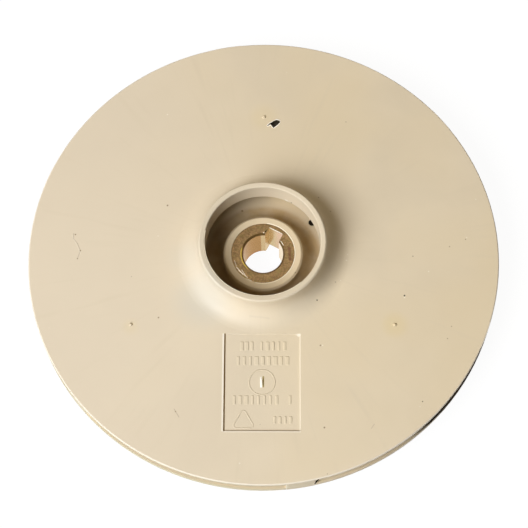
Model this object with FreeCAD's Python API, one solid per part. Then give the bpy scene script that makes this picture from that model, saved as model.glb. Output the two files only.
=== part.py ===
import FreeCAD, Part

import math
import os

# Closed impeller of a small centrifugal pump, in millimetres.
# The wheel's axis is Z, with the suction neck at the top and the rear end of the hub at z = 0.
# Two plastic mouldings are welded together along the tops of the vanes: the front shroud
# with its suction neck, and the back shroud with the hub and the vanes.
# A brass bush with a keyway is moulded into the hub.

# Wheel and its stack of heights along the axis
outer_diameter = 165.0
boss_height = 6.9
back_wall = 2.3
outlet_width = 4.4
front_wall = 1.5
neck_height = 13.6
rim_bevel = 0.3

# Front shroud and suction neck
front_cone_angle = 2.3
neck_diameter = 44.3
neck_root_round = 8.0
neck_edge_bevel = 0.5
eye_diameter = 40.0
eye_length = 8.5
eye_edge_bevel = 0.25
throat_angle = 35.0

# Back shroud and hub
boss_diameter = 29.0
boss_edge_bevel = 0.5
boss_root_bevel = 2.0
hub_height = 16.8
hub_diameter = 27.9
hub_edge_bevel = 0.7
hub_root_round = 5.0

# Vanes: circular arcs, leaning back from the way the wheel turns
vane_count = 6
vane_thickness = 3.6
vane_inlet_diameter = 53.0
vane_inlet_angle = 24.0
vane_outlet_angle = 22.0
vane_tip_bearing = -80.8

# Brass bush
bush_diameter = 22.3
bush_recess = 0.3
bush_fit_gap = 0.0
bore_diameter = 14.0
bore_chamfer = 0.7
key_width = 5.5
key_reach = 9.55
key_bearing = 62.0
lock_groove_height = 5.0
lock_groove_width = 3.0
lock_groove_depth = 0.5

# Moulding marks on the front shroud: a sunk panel below the neck and three gate stubs
panel_width = 26.0
panel_length = 34.0
panel_start = 29.9
panel_depth = 0.45
gate_count = 3
gate_circle_diameter = 105.2
gate_bearing = 90.0
gate_diameter = 1.1
gate_height = 0.3

# Damage: a hole broken through the front shroud, and a blow-hole in the floor of the eye
break_centre = (3.9, 49.9)
break_outline = [
    (-2.8, -0.7), (-1.7, 0.3), (-0.4, 1.2), (0.6, 1.75), (1.75, 1.4), (1.9, 0.6), (1.0, -0.45),
    (-0.5, -1.7), (-0.85, -1.25), (-1.2, -0.55), (-1.7, -0.2), (-2.5, -0.95),
]
blow_hole_centre = (17.2, 14.5)
blow_hole_diameter = 2.4
blow_hole_depth = 1.6

# Worked-out radii and heights
rim_radius = outer_diameter / 2
neck_radius = neck_diameter / 2
eye_radius = eye_diameter / 2
hub_radius = hub_diameter / 2
boss_radius = boss_diameter / 2
bush_radius = bush_diameter / 2
bore_radius = bore_diameter / 2
vane_inlet_radius = vane_inlet_diameter / 2

back_rim_z = boss_height
channel_floor_z = back_rim_z + back_wall
front_rim_under_z = channel_floor_z + outlet_width
front_rim_z = front_rim_under_z + front_wall
neck_top_z = front_rim_z + neck_height
eye_edge_z = neck_top_z - eye_length
bush_top_z = hub_height - bush_recess

front_slope = math.tan(math.radians(front_cone_angle))
overshoot = 1.0


def vector(x, y, z=0.0):
    return FreeCAD.Vector(x, y, z)


def polar(radius, bearing, z=0.0):
    """Point at a radius and a bearing in degrees about the wheel's axis."""
    angle = math.radians(bearing)
    return vector(radius * math.cos(angle), radius * math.sin(angle), z)


def finished_wire(corners):
    """Closed wire through (point, finish, size) corners, each sharp, round or bevelled.

    The arcs are splines, because their turned surfaces take fewer triangles than a torus.
    """
    turns = []
    for index, (corner, finish, size) in enumerate(corners):
        before = (corners[index - 1][0] - corner).normalize()
        after = (corners[(index + 1) % len(corners)][0] - corner).normalize()
        if finish == "sharp":
            turns.append((corner, None, corner))
        elif finish == "bevel":
            turns.append((corner + before * size, None, corner + after * size))
        else:
            half = before.getAngle(after) / 2
            bisector = (before + after).normalize()
            reach = size / math.tan(half)
            middle = corner + bisector * (size / math.sin(half) - size)
            turns.append((corner + before * reach, middle, corner + after * reach))
    edges = []
    for index, (start, middle, end) in enumerate(turns):
        if middle is not None:
            edges.append(Part.Arc(start, middle, end).toBSpline().toShape())
        elif start != end:
            edges.append(Part.LineSegment(start, end).toShape())
        edges.append(Part.LineSegment(end, turns[(index + 1) % len(turns)][0]).toShape())
    return Part.Wire(edges)


def revolved(corners):
    """Solid turned about the wheel's axis from (radius, height) corners.

    A corner that isn't sharp adds how it is finished, "round" or "bevel", and its size.
    """
    finished = []
    for radius, height, *finish in corners:
        finished.append((vector(radius, 0, height), *(finish or ("sharp", 0))))
    return Part.Face(finished_wire(finished)).revolve(vector(0, 0, 0), vector(0, 0, 1), 360)


def prism(corners, bottom, top):
    """Upright prism over (x, y) corners."""
    points = [vector(x, y, bottom) for x, y in corners]
    face = Part.Face(Part.makePolygon(points + points[:1]))
    return face.extrude(vector(0, 0, top - bottom))


def front_surface_z(radius):
    """Height of the front shroud's conical face at a radius."""
    return front_rim_z + (rim_radius - radius) * front_slope


def throat_corner():
    """Where the throat's slope meets the underside of the front shroud."""
    fall = 1 / math.tan(math.radians(throat_angle))
    drop = eye_edge_z - (front_surface_z(eye_radius) - front_wall)
    radius = eye_radius + drop / (fall - front_slope)
    return radius, front_surface_z(radius) - front_wall


def channel_space(floor_z):
    """Turned space between the eye's edge, the front shroud's underside and a floor."""
    throat_r, throat_z = throat_corner()
    return revolved([
        (eye_radius, floor_z),
        (rim_radius, floor_z),
        (rim_radius, front_rim_under_z),
        (throat_r, throat_z),
        (eye_radius, eye_edge_z),
    ])


def front_body():
    """Cover disc with the suction neck, as turned."""
    throat_r, throat_z = throat_corner()
    return revolved([
        (rim_radius, front_rim_under_z),
        (rim_radius, front_rim_z, "bevel", rim_bevel),
        (neck_radius, front_surface_z(neck_radius), "round", neck_root_round),
        (neck_radius, neck_top_z, "bevel", neck_edge_bevel),
        (eye_radius, neck_top_z, "bevel", eye_edge_bevel),
        (eye_radius, eye_edge_z),
        (throat_r, throat_z),
    ])


def panel_recess():
    """Space of the sunk panel, with its floor parallel to the conical face."""
    near = panel_start
    far = panel_start + panel_length
    side = -panel_width / 2
    points = [
        vector(side, -near, front_surface_z(near) - panel_depth),
        vector(side, -far, front_surface_z(far) - panel_depth),
        vector(side, -far, neck_top_z),
        vector(side, -near, neck_top_z),
    ]
    face = Part.Face(Part.makePolygon(points + points[:1]))
    return face.extrude(vector(panel_width, 0, 0))


def gate_stubs():
    """Low stubs left where the moulding was fed, each with its foot sunk in the shroud."""
    radius = gate_circle_diameter / 2
    stubs = []
    for index in range(gate_count):
        bearing = gate_bearing + index * 360 / gate_count
        foot = polar(radius, bearing, front_surface_z(radius) - gate_height)
        stubs.append(Part.makeCylinder(gate_diameter / 2, 2 * gate_height, foot))
    return stubs


def broken_hole():
    """Hole broken through the front shroud, with the crack that runs from it."""
    x, y = break_centre
    corners = [(x + dx, y + dy) for dx, dy in break_outline]
    return prism(corners, channel_floor_z + overshoot, neck_top_z)


def front_shroud():
    return front_body().fuse(gate_stubs()).cut([panel_recess(), broken_hole()])


def back_body():
    """Back disc with the hub and its rear boss, as turned."""
    return revolved([
        (0, 0),
        (boss_radius, 0, "bevel", boss_edge_bevel),
        (boss_radius, back_rim_z, "bevel", boss_root_bevel),
        (rim_radius, back_rim_z, "bevel", rim_bevel),
        (rim_radius, channel_floor_z),
        (hub_radius, channel_floor_z, "round", hub_root_round),
        (hub_radius, hub_height, "bevel", hub_edge_bevel),
        (0, hub_height),
    ])


def vane_prism():
    """First vane, as an upright prism that runs past the rim and the shrouds."""
    inlet_reach = vane_inlet_radius * math.cos(math.radians(vane_inlet_angle))
    outlet_reach = rim_radius * math.cos(math.radians(vane_outlet_angle))
    arc_radius = (rim_radius ** 2 - vane_inlet_radius ** 2) / (2 * (outlet_reach - inlet_reach))
    centre_offset = math.sqrt(arc_radius ** 2 + rim_radius ** 2 - 2 * arc_radius * outlet_reach)

    def bearing_from_centre(radius):
        cosine = (radius ** 2 + centre_offset ** 2 - arc_radius ** 2) / (2 * radius * centre_offset)
        return math.degrees(math.acos(cosine))

    centre_bearing = vane_tip_bearing - bearing_from_centre(rim_radius)
    centre = polar(centre_offset, centre_bearing, channel_floor_z - overshoot)

    def turn_at(radius):
        point = polar(radius, centre_bearing + bearing_from_centre(radius), centre.z)
        arm = point - centre
        return math.degrees(math.atan2(arm.y, arm.x))

    start = turn_at(vane_inlet_radius)
    end = turn_at(rim_radius + vane_thickness)
    if end > start:
        end -= 360
    middle = (start + end) / 2
    outer = arc_radius + vane_thickness / 2
    inner = arc_radius - vane_thickness / 2
    nose = centre + polar(arc_radius, start) + polar(vane_thickness / 2, start + 90)
    edges = [
        Part.Arc(centre + polar(outer, start), centre + polar(outer, middle),
                 centre + polar(outer, end)).toShape(),
        Part.LineSegment(centre + polar(outer, end), centre + polar(inner, end)).toShape(),
        Part.Arc(centre + polar(inner, end), centre + polar(inner, middle),
                 centre + polar(inner, start)).toShape(),
        Part.Arc(centre + polar(inner, start), nose, centre + polar(outer, start)).toShape(),
    ]
    return Part.Face(Part.Wire(edges)).extrude(vector(0, 0, neck_top_z - centre.z))


def vanes():
    """All vanes, trimmed to the space between the shrouds and flush with the rim."""
    space = channel_space(channel_floor_z - overshoot)
    first = vane_prism().common(space)
    copies = []
    for index in range(vane_count):
        vane = first.copy()
        vane.rotate(vector(0, 0, 0), vector(0, 0, 1), index * 360 / vane_count)
        copies.append(vane)
    return copies


def bush_envelope(radius, bottom, top):
    """Outside of the bush: a cylinder with a groove that locks it in the hub."""
    groove_radius = radius - lock_groove_depth
    groove_top = lock_groove_height + lock_groove_width
    return revolved([
        (0, bottom),
        (radius, bottom),
        (radius, lock_groove_height),
        (groove_radius, lock_groove_height),
        (groove_radius, groove_top),
        (radius, groove_top),
        (radius, top),
        (0, top),
    ])


def back_shroud():
    body = back_body().fuse(vanes()).removeSplitter()
    seat = bush_envelope(bush_radius + bush_fit_gap, -overshoot, hub_height + overshoot)
    x, y = blow_hole_centre
    pit_floor = vector(x, y, channel_floor_z - blow_hole_depth)
    blow_hole = Part.makeCylinder(blow_hole_diameter / 2, blow_hole_depth + overshoot, pit_floor)
    return body.cut([seat, blow_hole])


def hub_bush():
    """Brass bush with a chamfered bore and a keyway that runs its full length."""
    body = bush_envelope(bush_radius, 0, bush_top_z)
    mouth = bore_radius + bore_chamfer
    bore = revolved([
        (0, -overshoot),
        (mouth + overshoot, -overshoot),
        (bore_radius, bore_chamfer),
        (bore_radius, bush_top_z - bore_chamfer),
        (mouth + overshoot, bush_top_z + overshoot),
        (0, bush_top_z + overshoot),
    ])
    keyway = Part.makeBox(key_reach, key_width, bush_top_z + 2 * overshoot,
                          vector(0, -key_width / 2, -overshoot))
    keyway.rotate(vector(0, 0, 0), vector(0, 0, 1), key_bearing)
    return body.cut([bore, keyway])


nodes = {
    "front_shroud": front_shroud(),
    "back_shroud": back_shroud(),
    "hub_bush": hub_bush(),
}

os.makedirs("parts", exist_ok=True)
for name, shape in nodes.items():
    solid = shape.Solids[0]
    solid.exportStep("parts/" + name + ".step")
    print(name, len(shape.Solids), shape.isValid(), round(solid.Volume, 1), len(solid.Faces))
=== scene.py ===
import math

import bmesh
import bpy
from mathutils import Matrix, Vector


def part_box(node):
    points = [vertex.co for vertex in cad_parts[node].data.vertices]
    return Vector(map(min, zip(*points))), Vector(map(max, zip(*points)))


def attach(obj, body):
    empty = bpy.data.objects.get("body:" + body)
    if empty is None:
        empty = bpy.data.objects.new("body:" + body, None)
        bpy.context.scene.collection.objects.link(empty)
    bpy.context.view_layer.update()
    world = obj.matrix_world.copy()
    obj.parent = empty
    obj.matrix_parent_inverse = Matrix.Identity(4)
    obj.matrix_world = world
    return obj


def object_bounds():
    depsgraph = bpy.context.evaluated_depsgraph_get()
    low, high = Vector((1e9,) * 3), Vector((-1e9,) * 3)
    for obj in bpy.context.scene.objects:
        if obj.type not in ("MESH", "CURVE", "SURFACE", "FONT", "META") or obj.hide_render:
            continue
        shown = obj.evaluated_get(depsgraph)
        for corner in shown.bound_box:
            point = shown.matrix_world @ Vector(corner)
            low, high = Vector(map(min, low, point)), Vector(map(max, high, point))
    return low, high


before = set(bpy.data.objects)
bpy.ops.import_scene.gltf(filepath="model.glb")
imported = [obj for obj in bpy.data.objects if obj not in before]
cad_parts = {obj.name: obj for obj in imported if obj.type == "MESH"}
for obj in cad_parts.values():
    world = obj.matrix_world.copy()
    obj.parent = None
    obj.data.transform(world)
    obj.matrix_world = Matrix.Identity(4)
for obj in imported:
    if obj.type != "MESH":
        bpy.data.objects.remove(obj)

bl_info = {
    "name": "Pump impeller finish",
    "version": (1, 0, 0),
    "blender": (4, 5, 0),
    "location": "View3D > Sidebar > Impeller",
    "description": "Finishes the closed pump wheel: plastics, brass, moulding marks and damage",
    "category": "Object",
}

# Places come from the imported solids, in metres. The wheel's axis is Z.
cad_low, cad_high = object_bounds()
front_low, front_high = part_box("front_shroud")
bush_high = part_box("hub_bush")[1]
rim_radius = cad_high.x
rim_underside = front_low.z
neck_top = front_high.z
hub_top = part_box("back_shroud")[1].z
bush_radius = bush_high.x
bush_top = bush_high.z

# Sizes of the solids that their boxes don't give
front_wall = 0.0015
slot_width = 0.0044
back_wall = 0.0023
cone_angle = 2.3
panel_depth = 0.00045
eye_radius = 0.020
bore_radius = 0.007
bore_chamfer = 0.0007
key_bearing = math.radians(62.0)
key_reach = 0.00955
key_width = 0.0055
front_rim = rim_underside + front_wall
channel_floor = rim_underside - slot_width
rim_rear = channel_floor - back_wall
front_slope = math.tan(math.radians(cone_angle))
mouth_radius = bore_radius + bore_chamfer
key_directions = (
    Vector((math.cos(key_bearing), math.sin(key_bearing), 0.0)),
    Vector((-math.sin(key_bearing), math.cos(key_bearing), 0.0)),
)

# Damage, and the places of painted shade, as x and y
break_centre = (0.0039, 0.0499)
break_outline = [
    (-0.00280, -0.00070), (-0.00170, 0.00030), (-0.00040, 0.00120), (0.00060, 0.00175),
    (0.00175, 0.00140), (0.00190, 0.00060), (0.00100, -0.00045), (-0.00050, -0.00170),
    (-0.00085, -0.00125), (-0.00120, -0.00055), (-0.00170, -0.00020), (-0.00250, -0.00095),
]
blow_hole = (0.0172, 0.0145)
slot_shade_spot = (0.0676, -0.0473)
rim_shade_spot = (0.0704, -0.0430)
keyway_notch = [(0.00058, 0.00785), (0.00084, 0.00825), (0.00110, 0.00872)]
left_burr = [(0.00000, 0.00770), (0.00018, 0.00780), (0.00032, 0.00800)]

# Body that all added pieces ride on, and the sides of their small tubes
wheel_body = "root"
tube_sides = 8

# Panel: its outline, then its marks from its own middle. Rows are left, right, y, bars and
# seed, the ring and the triangle x, y and radius, and the tick its size.
panel_side = 0.013
panel_near = -0.0299
panel_far = -0.0639
panel_middle = -0.0469
panel_rows = [
    (-0.0080, -0.0027, 0.0128, 3, 11),
    (-0.0012, 0.0086, 0.0128, 5, 12),
    (-0.0093, 0.0096, 0.0076, 9, 13),
    (-0.0105, 0.0060, -0.0062, 8, 14),
    (0.0086, 0.0104, -0.0062, 1, 15),
]
panel_small_row = (0.0034, 0.0106, -0.0132, 4, 16)
panel_small_height = 0.0026
panel_ring = (-0.0001, 0.0, 0.0044)
panel_tick = (0.0013, 0.0037, 0.0006)
panel_triangle = (-0.00635, -0.0136, 0.0046)

# Stage. The wheel's front stands a little off the picture's middle.
floor_half = 3.0
front_offset = (-0.000294, 0.003233)
lamp_distance = 2.2
warm_light = (1.0, 0.72, 0.45, 1.0)
# Lamps as name, bearing, height, size, share of the key's power and colour
lamps = [
    ("key", 222.0, 45.5, 1.32, 0.95, (1.0, 1.0, 1.0)),
    ("low", 243.0, 23.0, 1.1, 0.14, (1.0, 1.0, 1.0)),
    ("fill", 82.0, 45.0, 1.65, 0.20, (1.0, 0.80, 0.48)),
]

pale = (0.97, 0.92, 0.82, 1.0)
cream_white = (0.93, 0.85, 0.68, 1.0)
brown = (0.20, 0.12, 0.055, 1.0)
soot_brown = (0.035, 0.022, 0.012, 1.0)
slot_brown = (0.37, 0.295, 0.15, 1.0)
rim_olive = (0.60, 0.55, 0.36, 1.0)
rim_shade_brown = (0.10, 0.066, 0.035, 1.0)
chamfer_shade = (0.13, 0.075, 0.022, 1.0)
halo = (0.74, 0.60, 0.30, 1.0)
# Pale tint of the painted sheen on the neck's foot
fillet_sheen = (0.65, 0.61, 0.52, 1.0)

# Lines as start, end, width, share and tint
bush_lines = [
    ((0.0091, 0.0020), (0.0095, -0.0024), 0.0007, 0.6, (0.12, 0.045, 0.03, 1.0)),
    ((-0.0092, -0.0052), (-0.0070, -0.0078), 0.00018, 0.6, pale),
    ((-0.0084, -0.0064), (-0.0054, -0.0090), 0.00016, 0.5, pale),
    ((-0.0074, -0.0062), (-0.0060, -0.0084), 0.00016, 0.5, pale),
    ((-0.0064, -0.0092), (-0.0040, -0.0102), 0.00016, 0.5, pale),
    ((-0.0100, -0.0026), (-0.0093, -0.0048), 0.00015, 0.4, pale),
    ((0.0004, 0.0098), (0.0052, 0.0094), 0.00015, 0.3, brown),
]
face_lines = [
    ((-0.0668, 0.0078), (-0.0668, 0.0059), 0.00018, 0.45, brown),
    ((-0.0668, 0.0059), (-0.0653, 0.0040), 0.00018, 0.35, brown),
    ((-0.0653, 0.0040), (-0.0642, 0.0013), 0.00018, 0.40, brown),
    ((-0.0642, 0.0013), (-0.0651, -0.0017), 0.00018, 0.35, brown),
    ((-0.0674, 0.0072), (-0.0640, 0.0000), 0.00020, 0.22, pale),
    ((-0.0299, -0.0563), (-0.0282, -0.0591), 0.00020, 0.35, brown),
    ((0.0380, -0.0614), (0.0370, -0.0629), 0.00020, 0.25, brown),
    # Faint grey streak of painted shade across the foot of the neck at the bottom
    ((-0.0044, -0.0242), (0.0022, -0.0249), 0.0004, 0.10, (0.36, 0.33, 0.28, 1.0)),
]
# Specks as x, y, radius, share and tint
face_specks = [
    (0.0491, -0.0156, 0.00020, 0.95, soot_brown), (0.0188, -0.0180, 0.00015, 0.90, soot_brown),
    (0.0545, -0.0534, 0.00011, 0.85, soot_brown), (-0.0662, 0.0074, 0.00016, 0.80, brown),
    (-0.0642, 0.0013, 0.00016, 0.75, brown), (-0.0339, 0.0180, 0.00020, 0.85, brown),
    (0.0211, -0.0627, 0.00020, 0.80, brown), (-0.0360, -0.0238, 0.00018, 0.75, brown),
    (0.0199, -0.0339, 0.00018, 0.70, brown), (-0.0651, -0.0017, 0.00014, 0.60, brown),
    (-0.0294, -0.0572, 0.00014, 0.55, brown), (0.0195, 0.0208, 0.00014, 0.50, brown),
    (0.0653, 0.0028, 0.00014, 0.50, brown), (0.0710, 0.0056, 0.00014, 0.50, brown),
    (0.0237, 0.0155, 0.00013, 0.45, brown), (0.0252, -0.0111, 0.00013, 0.45, brown),
    (0.0636, -0.0310, 0.00013, 0.50, brown), (0.0651, -0.0266, 0.00013, 0.45, brown),
    (0.0491, -0.0163, 0.00016, 0.60, pale), (0.0206, -0.0339, 0.00016, 0.50, pale),
    (-0.0349, 0.0539, 0.00016, 0.50, pale), (0.0714, 0.0063, 0.00014, 0.45, pale),
    (0.0291, -0.0029, 0.00016, 0.45, pale), (0.0577, -0.0066, 0.00016, 0.45, pale),
    (0.0270, -0.0104, 0.00014, 0.35, pale), (0.0295, -0.0007, 0.00014, 0.35, pale),
]
# Painted highlights and shade along the panel: dark on its shaded left and bottom walls, pale on
# its lit edges, and the tick's pale left and dark right sides
panel_light_and_shade = [
    ((-panel_side + 0.0001, panel_near), (-panel_side + 0.0001, panel_far), 0.00036, 1.0,
     (0.24, 0.14, 0.035, 1.0)),
    ((-panel_side - 0.0005, panel_near), (-panel_side - 0.0005, panel_far), 0.00036, 0.8, pale),
    ((-panel_side, panel_far + 0.0002), (panel_side, panel_far + 0.0002), 0.00034, 0.5, brown),
    ((-panel_side, panel_far - 0.0003), (panel_side, panel_far - 0.0003), 0.00028, 0.5, pale),
    ((panel_side - 0.0001, panel_near), (panel_side - 0.0001, panel_far), 0.00026, 0.35, pale),
    ((0.0116, panel_near - 0.0002), (panel_side, panel_near - 0.0002), 0.00040, 0.30, pale),
    ((-0.00046, -0.0453), (-0.00044, -0.0486), 0.00042, 1.0, (1.0, 0.98, 0.92, 1.0)),
    ((0.00036, -0.0450), (0.00036, -0.0484), 0.00042, 0.9, (0.33, 0.25, 0.07, 1.0)),
]
# Soft spots as x, y, radius, softness, share and tint. The first two are a painted sheen of the
# light on the neck's foot at the lower left.
face_spots = [
    (-0.0205, -0.0170, 0.0030, 0.0120, 0.75, fillet_sheen),
    (-0.0270, -0.0020, 0.0010, 0.0080, 0.45, fillet_sheen),
    (0.0456, -0.0263, 0.0020, 0.0040, 0.30, halo),
    (0.0000, 0.0526, 0.0020, 0.0050, 0.18, halo),
    (-0.0456, -0.0270, 0.0010, 0.0030, 0.15, halo),
    (0.0124, -0.0303, 0.0003, 0.0004, 0.60, pale),
]
back_spots = [(-0.0077, 0.0190, 0.0002, 0.0003, 0.70, brown)]
speck_softness = 0.0002
# Spots on the eye's wall, with z after x and y
wall_specks = [
    (0.00817, 0.01826, 0.0208, 0.0004, 0.0005, 0.65, pale),
    (0.00991, 0.01737, 0.0208, 0.00022, 0.0002, 0.80, brown),
]


def face_height(radius):
    """Height of the front shroud's conical face at a radius."""
    return front_rim + (rim_radius - radius) * front_slope


def new_material(name):
    material = bpy.data.materials.new(name)
    material.use_nodes = True
    return material


def linked(name, data):
    """New object in the scene."""
    thing = bpy.data.objects.new(name, data)
    bpy.context.scene.collection.objects.link(thing)
    return thing


class Graph:
    """Adds and links the nodes of one shader or geometry tree."""

    def __init__(self, tree):
        self.tree = tree

    def add(self, kind, **settings):
        node = self.tree.nodes.new(kind)
        for name, value in settings.items():
            setattr(node, name, value)
        return node

    def feed(self, socket, value):
        if isinstance(value, bpy.types.NodeSocket):
            self.tree.links.new(value, socket)
        else:
            socket.default_value = value

    def run(self, kind, inputs, output=0, **settings):
        """Adds a node, feeds its inputs by name or number and gives one output."""
        node = self.add(kind, **settings)
        for key, value in inputs.items():
            self.feed(node.inputs[key], value)
        return node.outputs[output]

    def math(self, operation, *values):
        return self.run("ShaderNodeMath", dict(enumerate(values)), operation=operation)

    def times(self, product, *factors):
        """Product of one or more values."""
        for factor in factors:
            product = self.math("MULTIPLY", product, factor)
        return product

    def vector(self, operation, *values, output=0):
        return self.run("ShaderNodeVectorMath", dict(enumerate(values)), output,
                        operation=operation)

    def join(self, x, y, z):
        return self.run("ShaderNodeCombineXYZ", {0: x, 1: y, 2: z})

    def split(self, vector):
        node = self.add("ShaderNodeSeparateXYZ")
        self.feed(node.inputs[0], vector)
        return node.outputs[0], node.outputs[1], node.outputs[2]


class Finish(Graph):
    """One procedural material, read in the wheel's own coordinates."""

    def __init__(self, name):
        self.material = new_material(name)
        super().__init__(self.material.node_tree)
        self.place = self.add("ShaderNodeTexCoord").outputs["Object"]
        self.x, self.y, self.z = self.split(self.place)
        self.flat = self.join(self.x, self.y, 0.0)
        self.radius = self.vector("LENGTH", self.flat, output="Value")
        self.colour = None

    def noise(self, size, place=None, detail=2.0, roughness=0.5):
        """Soft noise from 0 to 1, with features of a size in metres."""
        inputs = {"Vector": place or self.place, "Scale": 1 / size,
                  "Detail": detail, "Roughness": roughness}
        return self.run("ShaderNodeTexNoise", inputs, "Fac")

    def fade(self, value, start, end, low=0.0, high=1.0):
        """Smooth change from low to high while value goes from start to end."""
        inputs = {"Value": value, "From Min": start, "From Max": end,
                  "To Min": low, "To Max": high}
        return self.run("ShaderNodeMapRange", inputs, interpolation_type="SMOOTHSTEP")

    def mix(self, share, first, second):
        node = self.add("ShaderNodeMix", data_type="RGBA")
        self.feed(node.inputs["Factor"], share)
        self.feed(node.inputs["A"], first)
        self.feed(node.inputs["B"], second)
        for socket in node.outputs:
            if socket.type == "RGBA":
                return socket

    def paint(self, tint, *masks):
        """Lays a tint over the colour so far, as strong as the product of the masks."""
        self.colour = self.mix(self.times(*masks), self.colour, tint)

    def spot(self, x, y, radius, softness, z=None):
        """Round mask about a point of the face, or of space if it has a height, 1 inside."""
        place, centre = (self.flat, (x, y, 0.0)) if z is None else (self.place, (x, y, z))
        away = self.vector("DISTANCE", place, centre, output="Value")
        return self.fade(away, radius, radius + softness, 1.0, 0.0)

    def stroke(self, start, end, width):
        """Mask along a straight scratch, 1 on its line."""
        run = Vector((end[0] - start[0], end[1] - start[1], 0.0))
        offset = self.vector("SUBTRACT", self.flat, (start[0], start[1], 0.0))
        share = self.vector("DOT_PRODUCT", offset, run / run.length_squared, output="Value")
        share = self.math("MINIMUM", self.math("MAXIMUM", share, 0.0), 1.0)
        nearest = self.run("ShaderNodeVectorMath", {0: tuple(run), "Scale": share},
                           operation="SCALE")
        away = self.vector("DISTANCE", offset, nearest, output="Value")
        return self.fade(away, width * 0.3, width, 1.0, 0.0)

    def scratch(self, lines):
        """Draws straight lines, each given as start, end, width, share and tint."""
        for start, end, width, share, tint in lines:
            self.paint(tint, self.stroke(start, end, width), share)

    def rounded(self, radius):
        """Normal that rounds off every sharp edge."""
        return self.run("ShaderNodeBevel", {"Radius": radius}, "Normal", samples=6)

    def bump(self, height, distance, normal, strength=1.0):
        inputs = {"Height": height, "Distance": distance, "Strength": strength, "Normal": normal}
        return self.run("ShaderNodeBump", inputs, "Normal")

    def finish(self, inputs):
        """Feeds the colour so far and the named inputs to the surface."""
        surface = self.tree.nodes["Principled BSDF"]
        self.feed(surface.inputs["Base Color"], self.colour)
        for name, value in inputs.items():
            self.feed(surface.inputs[name], value)
        return self.material


def tinted(colour, share, other):
    """Colour moved a share of the way to another one."""
    return tuple(a + (b - a) * share for a, b in zip(colour, other))


def shaded(colour, factor):
    return tuple(channel * factor for channel in colour[:3]) + (1.0,)


def tone(name, description, default):
    """Setting that holds a colour."""
    return bpy.props.FloatVectorProperty(name=name, description=description, subtype="COLOR",
                                         size=4, min=0, max=1, default=default)


def fraction(name, description, default):
    """Setting that holds a share from 0 to 1."""
    return bpy.props.FloatProperty(name=name, description=description, subtype="FACTOR",
                                   min=0, max=1, default=default)


def length(name, description, default, low=0.0):
    """Setting that holds a length in metres."""
    return bpy.props.FloatProperty(name=name, description=description, unit="LENGTH",
                                   min=low, default=default)


def angle(name, description, degrees):
    """Setting that holds an angle."""
    return bpy.props.FloatProperty(name=name, description=description, subtype="ANGLE",
                                   default=math.radians(degrees))


class PlasticSettings(bpy.types.PropertyGroup):
    colour: tone("Colour", "Colour of the clean moulded plastic", (0.735, 0.640, 0.485, 1.0))
    stain: tone("Stain", "Colour of the deposit deep in the eye and the channels",
                (0.52, 0.355, 0.165, 1.0))
    # Near-black of the painted shade behind the break, in the blow-hole, deep in the slot and in
    # the slit and the notch
    shade_colour: tone("Soot", "Colour of the dirt inside the break and the blow-hole",
               (0.012, 0.009, 0.005, 1.0))
    mark: tone("Speck", "Colour of the dark specks", (0.20, 0.13, 0.06, 1.0))
    roughness: fraction("Roughness", "Roughness of the moulded surface", 0.44)
    patch_size: length("Patch size", "Size of the faint patches of tone", 0.030, 0.001)
    grain_size: length("Grain size", "Size of the fine grain of the mould's surface",
                       0.0005, 0.0001)
    grain_depth: length("Grain depth", "Depth of the fine grain", 0.000012)
    land_dish: fraction("Land dish", "Slope towards the eye with which the neck's land is lit",
                        0.10)
    edge_round: length("Edge round", "Round that catches the light along each edge", 0.00035)


class BrassSettings(bpy.types.PropertyGroup):
    colour: tone("Colour", "Colour of the dulled brass", (0.290, 0.184, 0.086, 1.0))
    tarnish: tone("Tarnish", "Colour of the darker tarnish", (0.216, 0.137, 0.063, 1.0))
    rubbed: tone("Rubbed", "Colour of the bore and the keyway, which the shaft keeps clean",
                 (0.47, 0.26, 0.088, 1.0))
    keyway: tone("Keyway", "Colour of the keyway's outer wall", (0.68, 0.57, 0.35, 1.0))
    keyway_right: tone("Keyway right", "Colour of that wall's right end, which is rubbed most",
                       (0.76, 0.55, 0.44, 1.0))
    keyway_left: tone("Keyway left", "Colour of the keyway's left side",
                      (0.74, 0.60, 0.36, 1.0))
    # Painted reflection of the white floor on the bore's polished right side
    mirror: tone("Mirror", "Colour of the bore's right side, which the shaft polished",
                 (0.98, 0.95, 0.90, 1.0))
    deposit: tone("Deposit", "Colour of the yellow deposit along the bore's mouth",
                  (0.70, 0.52, 0.10, 1.0))
    rust: tone("Rust", "Colour of the stain at the bore's far end", (0.50, 0.16, 0.05, 1.0))
    # Pale colour of the burrs and of the painted glint on the keyway's wall
    burr_and_glint: tone("Burr", "Colour of the bright burrs", (1.0, 0.95, 0.82, 1.0))
    polish: fraction("Polish", "How much of its roughness the bore has lost", 0.55)
    roughness: fraction("Roughness", "Roughness of the dulled metal", 0.46)
    groove_pitch: length("Tool pitch", "Distance between the rings that the lathe tool left",
                         0.00032, 0.00005)
    groove_depth: length("Tool depth", "Depth of those rings", 0.000014)


class PanelSettings(bpy.types.PropertyGroup):
    relief: length("Relief", "Height of the raised marks above the panel's floor", 0.00009)
    stroke: length("Stroke", "Width of the ring's and the triangle's line", 0.00045, 0.0001)
    row_height: length("Row height", "Height of the large rows of bars", 0.0031, 0.0005)
    seed: bpy.props.IntProperty(
        name="Seed", description="Seed of the bars' widths", default=3)


class GateSettings(bpy.types.PropertyGroup):
    count: bpy.props.IntProperty(
        name="Gates", description="Number of places where the shroud was fed", min=1, default=3)
    circle_radius: length("Circle radius", "Radius of the circle that they lie on", 0.0526)
    stub_height: length("Stub height", "Height of each stub above the face", 0.0003)
    pip_radius: length("Pip radius", "Radius of the torn end of each stub", 0.00044)


class TipSettings(bpy.types.PropertyGroup):
    count: bpy.props.IntProperty(
        name="Vanes", description="Number of vanes whose tips meet the rim", min=1, default=6)
    bearing: angle("Bearing", "Bearing of the middle of the first tip", -80.75)
    width: angle("Width", "Width of a tip along the rim", 6.7)
    slit_width: angle("Slit width", "Width of the open slit beside the first tip", 0.34)
    flash_width: angle("Flash width", "Width of the weld flash along the first tip's other side",
                       0.24)


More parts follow.
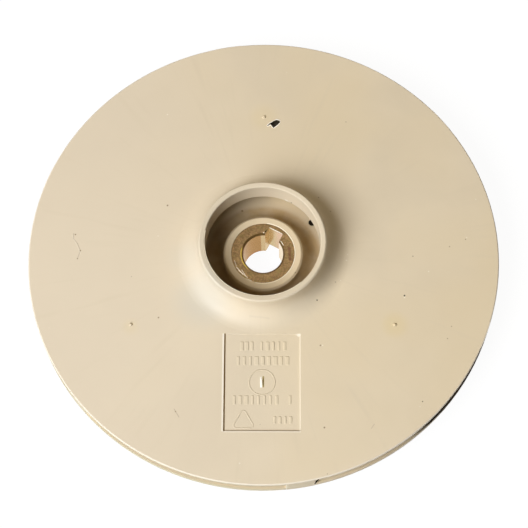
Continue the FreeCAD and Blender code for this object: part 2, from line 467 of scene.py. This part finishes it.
class StageSettings(bpy.types.PropertyGroup):
    lens: bpy.props.FloatProperty(
        name="Lens", description="Focal length in millimetres on a 36 mm sensor",
        min=10, default=122.73)
    tilt: angle("Tilt", "How far the view leans from straight above the wheel", 20.49)
    lean: angle("Lean", "How far the view leans sideways", 0.988)
    distance: length("Distance", "Distance of the camera from the wheel's front", 0.63127, 0.1)
    key_power: bpy.props.FloatProperty(
        name="Key power", description="Power of the large lamp on the lower left, in watts",
        min=0, default=58.8)
    ambient: bpy.props.FloatProperty(
        name="Ambient", description="Strength of the light from all round", min=0, default=0.015)


def piece(name, mesh, material):
    """Links a finished mesh, which rides on the wheel and takes the given finish."""
    thing = linked(name, mesh)
    mesh.materials.clear()
    mesh.materials.append(material)
    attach(thing, wheel_body)


def grown(tree, inputs):
    """Plain mesh that a geometry tree makes from its named inputs."""
    carrier = linked("carrier", bpy.data.meshes.new("carrier"))
    modifier = carrier.modifiers.new("grow", "NODES")
    modifier.node_group = tree
    for item in tree.interface.items_tree:
        if item.in_out == "INPUT":
            modifier[item.identifier] = inputs[item.name]
    depsgraph = bpy.context.evaluated_depsgraph_get()
    mesh = bpy.data.meshes.new_from_object(carrier.evaluated_get(depsgraph), depsgraph=depsgraph)
    carrier.modifiers.clear()
    bpy.data.objects.remove(carrier)
    return mesh


def dress(node, material):
    """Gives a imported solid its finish."""
    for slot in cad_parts[node].material_slots:
        slot.material = material


def cream_tones(look, settings, clean, place):
    """Soft patches, yellowed ones, a greyer left side and faint streaks from the neck outwards."""
    patches = look.noise(settings.patch_size, place, 3.0)
    look.colour = look.mix(look.fade(patches, 0.3, 0.7), shaded(clean, 0.955),
                           shaded(clean, 1.03))
    yellow = (clean[0], clean[1] * 0.975, clean[2] * 0.90, 1.0)
    warm = look.noise(settings.patch_size * 1.8, place, 2.0)
    look.paint(yellow, look.fade(warm, 0.45, 0.75, 0.0, 0.7))
    greyer = (clean[0], clean[1] * 1.012, clean[2] * 1.07, 1.0)
    look.paint(greyer, look.fade(look.x, -0.075, 0.045, 0.7, 0.0))
    heading = look.vector("NORMALIZE", look.flat)
    ray = look.run("ShaderNodeVectorMath", {0: heading, "Scale": 22.0}, operation="SCALE")
    run_out = look.join(0.0, 0.0, look.times(look.radius, 30.0))
    streaks = look.noise(1.0, look.vector("ADD", ray, run_out), 2.0)
    look.paint(shaded(clean, 0.93), look.fade(streaks, 0.55, 0.8, 0.0, 0.35))


def sprinkle(look, settings, clean, place):
    """Strews a few dark and pale specks."""
    cells = look.add("ShaderNodeTexVoronoi", feature="F1")
    look.feed(cells.inputs["Vector"], place)
    look.feed(cells.inputs["Scale"], 1 / 0.0075)
    chance, size, _ = look.split(cells.outputs["Color"])
    grain = look.math("LESS_THAN", cells.outputs["Distance"], look.times(size, 0.045))
    dark = look.math("GREATER_THAN", chance, 0.80)
    look.paint(settings.mark, dark, grain, 0.55)
    bright = look.math("LESS_THAN", chance, 0.16)
    look.paint(tinted(clean, 0.6, (1.0, 0.98, 0.94, 1.0)), bright, grain, 0.5)


def stain_and_shade_eye(look, settings, cloud):
    """Brown deposit inside the eye, with painted shade over it on its left."""
    in_eye = look.times(
        look.fade(look.radius, eye_radius - 0.0005, eye_radius + 0.0015, 1.0, 0.0),
        look.fade(look.z, channel_floor, hub_top - 0.0003, 0.85, 0.0))
    look.paint(settings.stain, in_eye, cloud)
    # Painted shade over the eye's left side
    look.paint(shaded(settings.stain, 0.45), in_eye, look.fade(look.x, 0.002, -0.014, 0.0, 0.45))


def stain_and_shade_slot(look, settings, cloud):
    """Brown dirt in the slot round the rim, and near-black painted shade in it on the lower right.
    Returns the painted shade's mask.
    """
    in_gap = look.times(
        look.fade(look.z, channel_floor - 0.0003, channel_floor - 0.0001),
        look.fade(look.z, rim_underside + 0.0001, rim_underside + 0.0003, 1.0, 0.0))
    in_slot = look.times(
        in_gap, look.fade(look.radius, rim_radius - 0.0025, rim_radius - 0.0003, 1.0, 0.0),
        look.fade(look.radius, eye_radius + 0.002, eye_radius + 0.006))
    look.paint(slot_brown, in_slot, cloud, 0.65)
    # Near-black painted shade deep in the slot on the lower right
    slot_shade = look.times(
        in_gap, look.spot(*slot_shade_spot, 0.015, 0.011),
        look.fade(look.radius, rim_radius - 0.0004, rim_radius - 0.00005, 0.98, 0.90))
    look.paint(settings.shade_colour, slot_shade)
    return slot_shade


def tint_and_light_rim(look):
    """The rim's olive tone, painted shade on its sides at the lower right and a painted highlight
    along its front edge. Returns the painted shade's mask.
    """
    on_rim = look.times(look.fade(look.radius, rim_radius - 0.0004, rim_radius - 0.0001),
                        look.fade(look.z, front_rim - 0.0004, front_rim - 0.0001, 0.9, 0.0))
    look.paint(rim_olive, on_rim, look.fade(look.x, 0.025, -0.010, 0.0, 0.7))
    # Painted shade on the rim's sides at the lower right
    rim_shade = look.times(on_rim, look.spot(*rim_shade_spot, 0.012, 0.010))
    look.paint(rim_shade_brown, rim_shade)
    # Painted highlight along the front edge of the rim
    look.paint(pale, look.fade(look.radius, rim_radius - 0.0005, rim_radius - 0.0002),
               look.fade(look.z, front_rim - 0.0006, front_rim - 0.0003, 0.0, 0.5))
    return rim_shade


def plastic(name, settings, cast=(1, 1, 1), spots=(), lines=(), shade_pockets=(), specks=(), seed=0.0):
    """Cream moulded plastic with faint patches, fine grain, specks and stains, and painted shade
    and highlights.
    """
    look = Finish(name)
    place = look.vector("ADD", look.place, (seed, seed * 0.7, seed * 1.3))
    clean = tuple(channel * share for channel, share in zip(settings.colour, cast)) + (1.0,)
    cream_tones(look, settings, clean, place)
    sprinkle(look, settings, clean, place)
    cloud = look.fade(look.noise(0.006, place, 3.0), 0.25, 0.75, 0.45, 1.0)
    stain_and_shade_eye(look, settings, cloud)
    slot_shade = stain_and_shade_slot(look, settings, cloud)
    rim_shade = tint_and_light_rim(look)
    # Each pocket is painted shade behind a hole, up to a height on the axis less its slope times
    # the radius
    for x, y, reach, top, slope in shade_pockets:
        height = look.math("ADD", look.z, look.times(look.radius, slope))
        look.paint(settings.shade_colour, look.spot(x, y, reach, 0.0002),
                   look.math("LESS_THAN", height, top), 0.97)
    for x, y, radius, softness, share, tint in spots:
        look.paint(tint, look.spot(x, y, radius, softness), share)
    for x, y, z, radius, softness, share, tint in specks:
        look.paint(tint, look.spot(x, y, radius, softness, z), share)
    look.scratch(lines)

    uneven = look.noise(0.008, place, 2.0)
    roughness = look.fade(uneven, 0.2, 0.8, settings.roughness - 0.05, settings.roughness + 0.06)
    roughness = look.math("MAXIMUM", roughness, look.math("MAXIMUM", slot_shade, rim_shade))
    on_land = look.fade(look.z, neck_top - 0.00012, neck_top - 0.00006)
    normal = look.bump(look.radius, settings.land_dish, look.rounded(settings.edge_round), on_land)
    normal = look.bump(look.noise(settings.grain_size, place, 2.0), settings.grain_depth, normal)
    return look.finish({"Roughness": roughness, "Normal": normal, "IOR": 1.46,
                        "Specular IOR Level": 0.25})


def clean_bore(look, settings):
    """Colours of the bore's mouth and wall. Returns the masks of the wall and of its polished
    right side, where a reflection is painted.
    """
    from_mouth = look.math("ABSOLUTE", look.math("SUBTRACT", look.radius, mouth_radius))
    look.paint(settings.deposit, look.fade(from_mouth, 0.0001, 0.0003, 0.8, 0.0),
               look.fade(look.x, -0.0062, -0.0046, 1.0, 0.0),
               look.fade(look.y, 0.0012, 0.0030, 1.0, 0.0))
    # Painted shade on the upper side of the mouth's chamfer
    on_chamfer = look.fade(look.radius, mouth_radius - 0.0001, mouth_radius + 0.0001, 0.85, 0.0)
    look.paint(chamfer_shade, on_chamfer, look.fade(look.y, 0.0010, 0.0040))
    inside = look.math("LESS_THAN", look.z, bush_top - bore_chamfer)
    look.paint(settings.rubbed, inside)
    look.paint(settings.rust, inside, look.fade(look.z, 0.0003, 0.0030, 0.6, 0.0))
    look.paint(settings.keyway_left, look.fade(look.x, -0.0011, -0.0007),
               look.math("GREATER_THAN", look.y, 0.0), inside, 0.8)
    # Painted reflection on the bore's right side, which is also made less rough
    mirror = look.times(look.fade(look.x, 0.0048, 0.0054), look.fade(look.y, 0.0048, 0.0044),
                        look.math("LESS_THAN", look.radius, bore_radius + 0.0001), inside)
    look.paint(settings.mirror, mirror)
    return inside, mirror


def clean_keyway(look, settings):
    """Colours of the keyway's outer wall, from its left side to its rubbed right end."""
    outward, sideways = (look.vector("DOT_PRODUCT", look.flat, way, output="Value")
                         for way in key_directions)
    side = key_width / 2
    wall = look.mix(look.fade(sideways, -0.0022, 0.0018), settings.keyway_right, settings.keyway)
    wall = look.mix(look.fade(sideways, side - 0.00015, side - 0.00005), wall,
                    settings.keyway_left)
    near_slot = look.math("LESS_THAN", look.math("ABSOLUTE", sideways), side + 0.00005)
    look.paint(wall, near_slot, look.math("GREATER_THAN", outward, 0.0062),
               look.math("LESS_THAN", look.z, bush_top - 0.0001))


def dulled_brass(name, settings):
    """Turned brass that water has dulled, rubbed bright in the bore and the keyway, with a painted
    reflection in the bore and painted shade on the mouth's chamfer.
    """
    look = Finish(name)
    tarnish = settings.tarnish
    gritty = look.noise(0.0006, detail=3.0, roughness=0.7)
    look.colour = look.mix(look.fade(gritty, 0.38, 0.62), shaded(tarnish, 0.68),
                           shaded(settings.colour, 1.12))
    clouds = look.noise(0.0045, detail=4.0, roughness=0.6)
    look.paint(tarnish, look.fade(clouds, 0.35, 0.7, 0.35, 0.0))
    green = (tarnish[0] * 0.95, tarnish[1] * 1.2, tarnish[2] * 0.95, 1.0)
    greenish = look.noise(0.0012, look.vector("ADD", look.place, (0.3, 0.3, 0.3)))
    look.paint(green, look.fade(greenish, 0.45, 0.7, 0.0, 0.5))
    blotches = look.noise(0.0016, detail=3.0, roughness=0.65)
    look.paint(shaded(tarnish, 0.55), look.fade(blotches, 0.58, 0.75, 0.0, 0.6))
    look.scratch(bush_lines)
    inside, mirror = clean_bore(look, settings)
    clean_keyway(look, settings)

    turn = look.math("DIVIDE", look.radius, settings.groove_pitch / (2 * math.pi))
    rings = look.math("SINE", look.math("ADD", turn, look.times(look.noise(0.004), 5.0)))
    height = look.math("ADD", look.times(rings, 0.5), look.noise(0.0004))
    normal = look.bump(height, settings.groove_depth, look.rounded(0.0002))
    dull = look.fade(clouds, 0.3, 0.7, settings.roughness + 0.12, settings.roughness - 0.05)
    roughness = look.math("SUBTRACT", dull, look.times(inside, dull, settings.polish))
    roughness = look.times(roughness, look.fade(mirror, 0.0, 1.0, 1.0, 0.2))
    return look.finish({"Roughness": roughness, "Normal": normal, "Metallic": 0.75,
                        "Specular IOR Level": 0.3, "Specular Tint": (1.0, 0.84, 0.62, 1.0)})


def plain_finish(name, colour, roughness, specular=0.5):
    """Simple finish for the small flash and burrs, for the pale beads of painted highlight and for
    the dark pieces of painted shade in the slit and the notch.
    """
    material = new_material(name)
    inputs = material.node_tree.nodes["Principled BSDF"].inputs
    inputs["Base Color"].default_value = colour
    inputs["Roughness"].default_value = roughness
    inputs["Specular IOR Level"].default_value = specular
    return material


class IMPELLER_OT_shrouds(bpy.types.Operator):
    """Give the two plastic mouldings their finish, with their specks, halo and scratches, and
    painted sheen, highlights and shade
    """
    bl_idname = "impeller.shrouds"
    bl_label = "Finish the shrouds"

    def execute(self, context):
        settings = context.scene.impeller_plastic
        front_spots = face_spots + [(x, y, radius, speck_softness, share, tint)
                                    for x, y, radius, share, tint in face_specks]
        face_foot = front_rim + rim_radius * front_slope
        # Painted shade seen through the break, and down in the blow-hole
        behind_break = (*break_centre, 0.0031, face_foot - 0.00015, front_slope)
        pit = (*blow_hole, 0.0013, channel_floor - 0.00005, 0.0)
        front = plastic("cream_front", settings, spots=front_spots,
                        lines=face_lines + panel_light_and_shade, shade_pockets=[behind_break],
                        specks=wall_specks)
        back = plastic("cream_back", settings, (0.98, 0.94, 0.86), back_spots,
                       shade_pockets=[behind_break, pit], seed=0.31)
        dress("front_shroud", front)
        dress("back_shroud", back)
        return {"FINISHED"}


class IMPELLER_OT_bush(bpy.types.Operator):
    """Give the bush its dulled, turned brass"""
    bl_idname = "impeller.bush"
    bl_label = "Finish the bush"

    def execute(self, context):
        dress("hub_bush", dulled_brass("dull_brass", context.scene.impeller_brass))
        return {"FINISHED"}


def new_tree(name, material, *sockets):
    """Graph and inputs of a new geometry tree, and close(), which ends it with the material."""
    tree = bpy.data.node_groups.new(name, "GeometryNodeTree")
    for label, kind, low in sockets:
        socket = tree.interface.new_socket(label, in_out="INPUT",
                                           socket_type="NodeSocket" + kind)
        if low is not None:
            socket.min_value = low
    tree.interface.new_socket("Geometry", in_out="OUTPUT", socket_type="NodeSocketGeometry")
    graph = Graph(tree)
    given = graph.add("NodeGroupInput").outputs
    result = graph.add("NodeGroupOutput").inputs["Geometry"]

    def close(geometry):
        real = graph.run("GeometryNodeRealizeInstances", {"Geometry": geometry})
        graph.feed(result, graph.run("GeometryNodeSetMaterial",
                                     {"Geometry": real, "Material": material}))
        return tree
    return graph, given, close


def around(graph, shape, count):
    """Copies of a shape, turned evenly about the wheel's axis."""
    points = graph.run("GeometryNodePoints", {"Count": count})
    step = graph.math("DIVIDE", 2 * math.pi, count)
    turn = graph.times(graph.add("GeometryNodeInputIndex").outputs[0], step)
    return graph.run("GeometryNodeInstanceOnPoints",
                     {"Points": points, "Instance": shape, "Rotation": graph.join(0, 0, turn)})


def moved(graph, geometry, place, turn=0.0, scale=(1, 1, 1)):
    """Geometry scaled, turned about Z and put in its place."""
    return graph.run("GeometryNodeTransform", {"Geometry": geometry, "Translation": place,
                                               "Rotation": (0, 0, turn), "Scale": scale})


def rim_block_tree(name, material):
    """Blocks that follow the rim, one beside each vane's tip, leaning if they are asked to."""
    graph, given, close = new_tree(
        name, material, ("Count", "Int", 1), ("Bearing", "Float", None), ("Width", "Float", 0),
        ("Lean", "Float", None), ("Radius", "Float", 0), ("Thickness", "Float", 0),
        ("Bottom", "Float", 0), ("Top", "Float", 0))
    block = graph.run("GeometryNodeMeshCube", {"Size": (1, 1, 1), "Vertices X": 17,
                                               "Vertices Y": 2, "Vertices Z": 9}, "Mesh")
    x, y, z = graph.split(graph.add("GeometryNodeInputPosition").outputs[0])
    across = graph.math("SUBTRACT", given["Bearing"], graph.times(x, given["Width"]))
    bearing = graph.math("ADD", across, graph.times(z, given["Lean"]))
    depth = graph.times(graph.math("SUBTRACT", 0.5, y), given["Thickness"])
    radius = graph.math("SUBTRACT", given["Radius"], depth)
    rise = graph.times(graph.math("ADD", z, 0.5),
                       graph.math("SUBTRACT", given["Top"], given["Bottom"]))
    place = graph.join(graph.times(radius, graph.math("COSINE", bearing)),
                       graph.times(radius, graph.math("SINE", bearing)),
                       graph.math("ADD", given["Bottom"], rise))
    bent = graph.run("GeometryNodeSetPosition", {"Geometry": block, "Position": place})
    return close(around(graph, bent, given["Count"]))


def gate_tree(name, material):
    """Torn ends of the gate stubs, each a squashed ball on top of its stub."""
    graph, given, close = new_tree(
        name, material, ("Count", "Int", 1), ("Circle radius", "Float", 0),
        ("Height", "Float", 0), ("Pip radius", "Float", 0))
    ball = graph.run("GeometryNodeMeshUVSphere", {"Segments": 14, "Rings": 8, "Radius": 1.0},
                     "Mesh")
    size = graph.join(given["Pip radius"], graph.times(given["Pip radius"], 0.75),
                      graph.times(given["Pip radius"], 0.6))
    place = graph.join(0, given["Circle radius"], given["Height"])
    return close(around(graph, moved(graph, ball, place, 0.6, size), given["Count"]))


def bar_row(graph, given, height, left, right, y, count, seed):
    """One row of bars with uneven widths, from left to right."""
    pitch = (right - left) / count
    row = graph.run("GeometryNodeMeshLine", {"Count": count, "Offset": (pitch, 0, 0),
                                             "Start Location": (left + pitch / 2, y, 0)})
    number = graph.math("ADD", given["Seed"], float(seed))
    width = graph.run("FunctionNodeRandomValue", {"Min": 0.28, "Max": 0.72, "Seed": number},
                      "Value", data_type="FLOAT")
    for socket in width.node.outputs:
        if socket.enabled and socket.type == "VALUE":
            width = socket
    shape = graph.run("GeometryNodeMeshCube", {"Size": (1, 1, 1)}, "Mesh")
    size = graph.join(graph.times(width, pitch), height, given["Relief"])
    return graph.run("GeometryNodeInstanceOnPoints",
                     {"Points": row, "Instance": shape, "Scale": size})


def ring_curve(graph, radius, corners):
    return graph.run("GeometryNodeCurvePrimitiveCircle",
                     {"Resolution": corners, "Radius": radius}, mode="RADIUS")


def raised_line(graph, given, curve):
    """Flat-sided ridge along a curve, as wide as the stroke."""
    profile = graph.run("GeometryNodeCurvePrimitiveQuadrilateral",
                        {"Width": given["Stroke"], "Height": graph.times(given["Relief"], 0.7)})
    tube = graph.run("GeometryNodeCurveToMesh", {"Curve": curve, "Profile Curve": profile})
    return graph.run("GeometryNodeSetShadeSmooth", {"Geometry": tube, "Shade Smooth": False})


def panel_tree(name, material):
    """Raised marks on the panel: rows of plain bars, a ring with a tick, and a triangle."""
    graph, given, close = new_tree(
        name, material, ("Relief", "Float", 0), ("Stroke", "Float", 0),
        ("Row height", "Float", 0), ("Seed", "Int", None))
    marks = [bar_row(graph, given, given["Row height"], *row) for row in panel_rows]
    marks.append(bar_row(graph, given, panel_small_height, *panel_small_row))

    x, y, radius = panel_ring
    circle = ring_curve(graph, radius, 48)
    marks.append(moved(graph, raised_line(graph, given, circle), (x, y, 0)))
    ridge = graph.run("GeometryNodeMeshCone", {
        "Vertices": 4, "Side Segments": 1, "Fill Segments": 1, "Radius Top": 0.15,
        "Radius Bottom": 0.7071, "Depth": 1.0}, "Mesh", fill_type="NGON")
    square = moved(graph, ridge, (0, 0, 0), math.pi / 4)
    marks.append(moved(graph, square, (x, y, -0.0001), scale=panel_tick))

    x, y, radius = panel_triangle
    triangle = graph.run("GeometryNodeFilletCurve", {
        "Curve": ring_curve(graph, radius, 3), "Radius": 0.0009, "Count": 4}, mode="POLY")
    marks.append(moved(graph, raised_line(graph, given, triangle), (x, y, 0), math.pi / 2))

    joined = graph.add("GeometryNodeJoinGeometry")
    for mark in marks:
        graph.feed(joined.inputs[0], mark)
    floor_height = face_height(-panel_middle) - panel_depth
    return close(graph.run("GeometryNodeTransform", {
        "Geometry": joined.outputs[0], "Rotation": (math.radians(cone_angle), 0, 0),
        "Translation": (0, panel_middle, floor_height)}))


class IMPELLER_OT_panel(bpy.types.Operator):
    """Raise the marks on the sunk panel: bars in rows, a ring with a tick, and a triangle"""
    bl_idname = "impeller.panel_marks"
    bl_label = "Raise the panel's marks"

    def execute(self, context):
        settings = context.scene.impeller_panel
        # A lighter copy of the cream plastic, painted light that softens the marks' shading, with
        # the panel's painted highlight and shade lines
        cream = plastic("cream_marks_lightened", context.scene.impeller_plastic, (1.025, 1.025, 1.01),
                        lines=panel_light_and_shade)
        mesh = grown(panel_tree("panel_marks", cream), {
            "Relief": 2 * settings.relief, "Stroke": settings.stroke,
            "Row height": settings.row_height, "Seed": settings.seed})
        piece("panel_marks", mesh, cream)
        return {"FINISHED"}


class IMPELLER_OT_gates(bpy.types.Operator):
    """Leave a torn end on each of the gate stubs"""
    bl_idname = "impeller.gates"
    bl_label = "Leave the gate stubs"

    def execute(self, context):
        settings = context.scene.impeller_gates
        cream = bpy.data.materials["cream_front"]
        mesh = grown(gate_tree("gate_stubs", cream), {
            "Count": settings.count, "Circle radius": settings.circle_radius,
            "Height": face_height(settings.circle_radius) + settings.stub_height,
            "Pip radius": settings.pip_radius})
        piece("gate_stubs", mesh, cream)
        return {"FINISHED"}


class IMPELLER_OT_tips(bpy.types.Operator):
    """Trim the vane tips flush with the rim, with a dark sliver of painted shade in the slit and a
    line of flash beside the first
    """
    bl_idname = "impeller.vane_tips"
    bl_label = "Trim the vane tips"

    def execute(self, context):
        settings = context.scene.impeller_tips
        plain = context.scene.impeller_plastic
        trimmed = plastic("cream_trimmed", plain, (1.08, 1.07, 1.08), seed=0.57)
        crack = plain_finish("crack_shade", plain.shade_colour, 0.9, specular=0.0)
        flash = plain_finish("weld_flash", cream_white, 0.6, specular=0.3)
        half = settings.width / 2
        self.blocks("tip_pads", trimmed, {
            "Count": settings.count, "Bearing": settings.bearing, "Width": settings.width,
            "Lean": 0.0, "Radius": rim_radius - 0.00002, "Thickness": 0.0007,
            "Bottom": rim_rear + 0.0001, "Top": front_rim - 0.0001})
        # Dark sliver of painted shade in the slit beside the first tip
        self.blocks("tip_slit", crack, {
            "Count": 1, "Bearing": settings.bearing + half + settings.slit_width,
            "Width": settings.slit_width, "Lean": math.radians(0.9),
            "Radius": rim_radius, "Thickness": 0.0009,
            "Bottom": channel_floor - 0.0002, "Top": front_rim - 0.0008})
        self.blocks("tip_flash", flash, {
            "Count": 1, "Bearing": settings.bearing - half - settings.flash_width / 2,
            "Width": settings.flash_width, "Lean": 0.0,
            "Radius": rim_radius, "Thickness": 0.0008,
            "Bottom": rim_rear + 0.0003, "Top": front_rim - 0.0004})
        return {"FINISHED"}

    def blocks(self, name, material, inputs):
        piece(name, grown(rim_block_tree(name, material), inputs), material)


class IMPELLER_OT_edges(bpy.types.Operator):
    """Add pale beads of flash and painted highlight along the lit side of the eye's lip, a painted
    highlight bead on the hub's edge, the keyway's burrs and painted glint, a dark blob of painted
    shade in its notch, and the broken lip
    """
    bl_idname = "impeller.edges"
    bl_label = "Add flash, burrs and broken edges"

    def execute(self, context):
        flash = plain_finish("edge_flash_and_highlight", cream_white, 0.5, specular=0.3)
        whitened = plain_finish("whitened_plastic", pale, 0.6)
        bright = plain_finish("bright_burr_and_glint", context.scene.impeller_brass.burr_and_glint, 0.3)
        # Pale beads laid only along the lit sides: flash with a painted highlight on the eye's
        # lip, a painted highlight on the hub's edge
        eye = self.arc(eye_radius + 0.00003, 168, 312, 90)
        hub = self.arc(bush_radius + 0.00012, -105, 84, 80)
        self.tubes("eye_lip", [(eye, neck_top - 0.00012, 0.00011)], flash, "front_plastic")
        self.tubes("hub_lip", [(hub, hub_top - 0.00010, 0.00020)], flash, "back_plastic")
        piece("break_lip", self.break_lip(), whitened)
        self.tubes("keyway_burrs_and_glints", self.keyway_burrs_and_glints(), bright, "brass")
        # Dark blob of painted shade in the notch at the keyway's left corner
        self.tubes("keyway_notch", [(keyway_notch, bush_top - 0.00004, 0.00020)],
                   bpy.data.materials["crack_shade"], "brass")
        return {"FINISHED"}

    def tubes(self, name, paths, material, slot):
        """Piece made of closed tubes, each given as its path, height and radius."""
        made = bmesh.new()
        for path, height, radius in paths:
            self.tube(made, path, height, radius)
        piece(name, self.mesh(made, name), material)

    def keyway_burrs_and_glints(self):
        """Paths, heights and radii of the painted glint along the top of the keyway's wall and of
        the burrs at the bore's mouth and the keyway's left corner.
        """
        out, along = key_directions
        corner = out * (key_reach + 0.00006)
        wall = [(corner + along * (key_width / 2 * share)).xy
                for share in (0.97, 0.5, 0.0, -0.5, -0.97)]
        right = self.arc(mouth_radius, 22, 38, 5)
        return [(wall, bush_top + 0.00003, 0.00015), (right, bush_top - 0.00002, 0.00012),
                (left_burr, bush_top, 0.00022)]

    def arc(self, radius, start, end, count):
        """Points (x, y) along an arc between two bearings in degrees."""
        points = []
        for step in range(count):
            bearing = math.radians(start + (end - start) * step / (count - 1))
            points.append((radius * math.cos(bearing), radius * math.sin(bearing)))
        return points

    def tube(self, made, path, height, tube_radius):
        """Closed tube through (x, y) points at a height, pinched in at both ends."""
        rings = []
        last = len(path) - 1
        for index, point in enumerate(path):
            before = Vector(path[max(index - 1, 0)])
            after = Vector(path[min(index + 1, last)])
            way = (after - before).normalized()
            outward = Vector((-way.y, way.x))
            reach = tube_radius * (0.4 if index in (0, last) else 1.0)
            ring = []
            for side in range(tube_sides):
                turn = 2 * math.pi * side / tube_sides
                spot = Vector(point) + outward * (reach * math.cos(turn))
                ring.append(made.verts.new((spot.x, spot.y, height + reach * math.sin(turn))))
            rings.append(ring)
        for first, second in zip(rings, rings[1:]):
            self.band(made, first, second)
        made.faces.new(rings[0])
        made.faces.new(rings[-1])

    def mesh(self, made, name):
        bmesh.ops.recalc_face_normals(made, faces=made.faces)
        mesh = bpy.data.meshes.new(name)
        made.to_mesh(mesh)
        made.free()
        mesh.shade_smooth()
        return mesh

    def band(self, made, first, second):
        """Faces between two rings of points."""
        for index in range(len(first)):
            after = (index + 1) % len(first)
            made.faces.new((first[index], first[after], second[after], second[index]))

    def break_lip(self):
        """Raised pale lip that follows the outline of the break."""
        made = bmesh.new()
        centre = Vector(break_centre)
        rings = []
        count = len(break_outline)
        for index, corner in enumerate(break_outline):
            before = Vector(break_outline[index - 1])
            after = Vector(break_outline[(index + 1) % count])
            along = (after - before).normalized()
            outward = Vector((-along.y, along.x))
            width = 0.00030 + 0.00008 * math.sin(2.3 * index)
            edge = centre + Vector(corner)
            points = []
            for reach, rise in ((-0.00003, -0.0004), (-0.00003, 0.00002), (width * 0.35, 0.00009),
                                (width, -0.00003), (width * 0.6, -0.0004)):
                spot = edge + outward * reach
                points.append(made.verts.new((spot.x, spot.y, face_height(spot.length) + rise)))
            rings.append(points)
        for first, second in zip(rings, rings[1:] + rings[:1]):
            self.band(made, first, second)
        return self.mesh(made, "break_lip")


class IMPELLER_OT_stage(bpy.types.Operator):
    """Set up the floor, the lamps and the camera"""
    bl_idname = "impeller.stage"
    bl_label = "Set up the stage"

    def execute(self, context):
        settings = context.scene.impeller_stage
        self.floor()
        self.surroundings(context, settings)
        for name, bearing, height, size, share, colour in lamps:
            self.lamp(name, bearing, height, size, share * settings.key_power, colour)
        self.camera(context, settings)
        context.scene.view_settings.view_transform = "Standard"
        return {"FINISHED"}

    def seen(self, graph):
        """1 for what the camera sees, also in a reflection or through glass."""
        path = graph.add("ShaderNodeLightPath")
        seen = graph.math("MAXIMUM", path.outputs["Is Camera Ray"], path.outputs["Is Glossy Ray"])
        return graph.math("MAXIMUM", seen, path.outputs["Is Transmission Ray"])

    def floor(self):
        corners = [(-floor_half, -floor_half, 0), (floor_half, -floor_half, 0),
                   (floor_half, floor_half, 0), (-floor_half, floor_half, 0)]
        mesh = bpy.data.meshes.new("floor")
        mesh.from_pydata(corners, [], [(0, 1, 2, 3)])
        floor = linked("floor", mesh)
        material = new_material("floor")
        graph = Graph(material.node_tree)
        material.node_tree.nodes.remove(material.node_tree.nodes["Principled BSDF"])
        lit = graph.run("ShaderNodeBsdfDiffuse", {"Color": (0.5, 0.5, 0.5, 1.0)})
        shadow = graph.run("ShaderNodeBsdfDiffuse", {"Color": (0.08, 0.08, 0.08, 1.0)})
        glow = graph.run("ShaderNodeEmission", {"Color": (1, 1, 1, 1), "Strength": 0.95})
        shown = graph.run("ShaderNodeAddShader", {0: shadow, 1: glow})
        mixed = graph.run("ShaderNodeMixShader", {0: self.seen(graph), 1: lit, 2: shown})
        graph.feed(material.node_tree.nodes["Material Output"].inputs["Surface"], mixed)
        mesh.materials.append(material)

    def surroundings(self, context, settings):
        world = bpy.data.worlds.new("surroundings")
        world.use_nodes = True
        context.scene.world = world
        graph = Graph(world.node_tree)
        white = world.node_tree.nodes["Background"]
        graph.feed(white.inputs["Color"], (1, 1, 1, 1))
        warm = graph.run("ShaderNodeBackground", {"Color": warm_light,
                                                  "Strength": settings.ambient})
        mixed = graph.run("ShaderNodeMixShader", {0: self.seen(graph), 1: warm,
                                                  2: white.outputs[0]})
        graph.feed(world.node_tree.nodes["World Output"].inputs["Surface"], mixed)

    def lamp(self, name, bearing, height, size, power, colour):
        """Square soft lamp that looks at the middle of the wheel."""
        light = bpy.data.lights.new(name, "AREA")
        light.energy = power
        light.color = colour
        light.size = size
        lamp = linked(name, light)
        turn, rise = math.radians(bearing), math.radians(height)
        way = Vector((math.cos(turn) * math.cos(rise), math.sin(turn) * math.cos(rise),
                      math.sin(rise)))
        lamp.location = way * lamp_distance
        lamp.rotation_euler = way.to_track_quat("Z", "Y").to_euler()

    def camera(self, context, settings):
        view = Matrix.Rotation(-settings.lean, 3, "Y") @ Matrix.Rotation(-settings.tilt, 3, "X")
        front_seen = Vector((*front_offset, -settings.distance))
        data = bpy.data.cameras.new("camera")
        data.lens = settings.lens
        data.sensor_width = 36
        camera = linked("camera", data)
        place = Vector((0, 0, front_rim)) - view.transposed() @ front_seen
        camera.matrix_world = Matrix.Translation(place) @ view.transposed().to_4x4()
        context.scene.camera = camera


class IMPELLER_PT_panel(bpy.types.Panel):
    """Lists the steps that finish the wheel"""
    bl_idname = "IMPELLER_PT_panel"
    bl_label = "Pump impeller"
    bl_space_type = "VIEW_3D"
    bl_region_type = "UI"
    bl_category = "Impeller"

    def draw(self, context):
        for operator in operators:
            self.layout.operator(operator.bl_idname)


settings_groups = {
    "impeller_plastic": PlasticSettings,
    "impeller_brass": BrassSettings,
    "impeller_panel": PanelSettings,
    "impeller_gates": GateSettings,
    "impeller_tips": TipSettings,
    "impeller_stage": StageSettings,
}
operators = [
    IMPELLER_OT_shrouds, IMPELLER_OT_bush, IMPELLER_OT_panel, IMPELLER_OT_gates,
    IMPELLER_OT_tips, IMPELLER_OT_edges, IMPELLER_OT_stage,
]


def register():
    for cls in [*settings_groups.values(), *operators, IMPELLER_PT_panel]:
        bpy.utils.register_class(cls)
    for name, group in settings_groups.items():
        setattr(bpy.types.Scene, name, bpy.props.PointerProperty(type=group))


def unregister():
    for name in settings_groups:
        delattr(bpy.types.Scene, name)
    for cls in [IMPELLER_PT_panel, *operators, *settings_groups.values()]:
        bpy.utils.unregister_class(cls)


def main():
    register()
    bpy.ops.impeller.shrouds()
    bpy.ops.impeller.bush()
    bpy.ops.impeller.panel_marks()
    bpy.ops.impeller.gates()
    bpy.ops.impeller.vane_tips()
    bpy.ops.impeller.edges()
    bpy.ops.impeller.stage()


if __name__ == "__main__":
    main()
